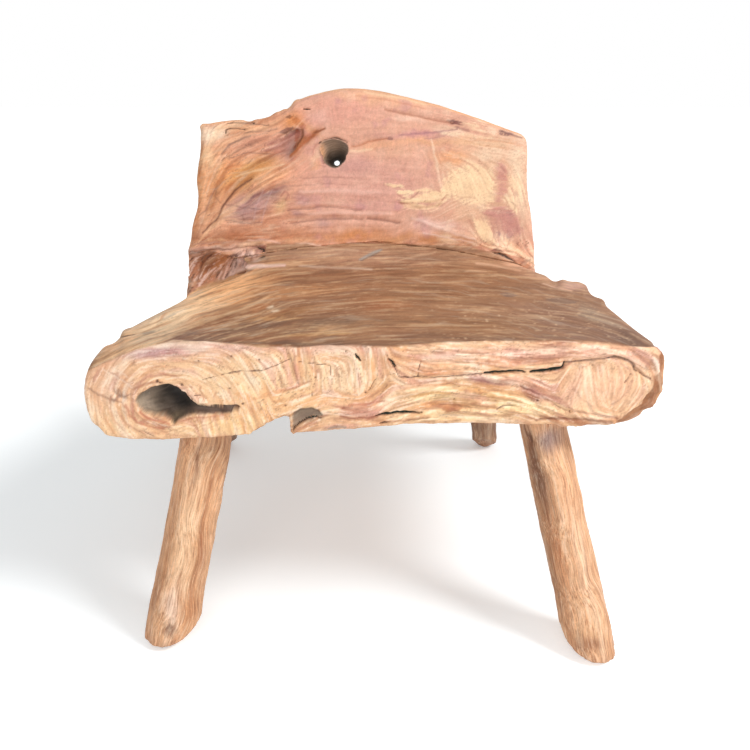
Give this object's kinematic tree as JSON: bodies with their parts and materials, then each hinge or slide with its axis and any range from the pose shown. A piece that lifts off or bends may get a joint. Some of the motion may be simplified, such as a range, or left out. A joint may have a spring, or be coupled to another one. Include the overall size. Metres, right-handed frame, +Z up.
{
  "type": "rustic log bench",
  "caption": "Rustic seat of thick live-edge root wood with a leaning slab back and splayed round log legs, for one person to sit on.",
  "frame": {"origin": "on the floor, under the middle of the bench's bounding box", "axes": "+X to the right of someone who faces the bench, +Y from its front to its rear, +Z up"},
  "size_m": [0.7724, 0.7238, 0.7567],
  "materials": {
    "seat_slab": "oiled, worn smooth",
    "back_slab": "oiled, worn smooth",
    "leg_log": "peeled and oiled",
    "tenon_wedge": "cleft, unfinished",
    "back_peg": "cleft, oiled"
  },
  "bodies": {
    "root": {"seat_slab": "seat_slab", "back_slab": "back_slab", "leg_front_left": "leg_log", "tenon_wedge_front_left": "tenon_wedge", "leg_front_right": "leg_log", "tenon_wedge_front_right": "tenon_wedge", "leg_rear_left": "leg_log", "tenon_wedge_rear_left": "tenon_wedge", "leg_rear_right": "leg_log", "tenon_wedge_rear_right": "tenon_wedge", "back_peg_1": "back_peg", "back_peg_2": "back_peg", "back_peg_3": "back_peg", "back_peg_4": "back_peg"}
  },
  "joints": []
}
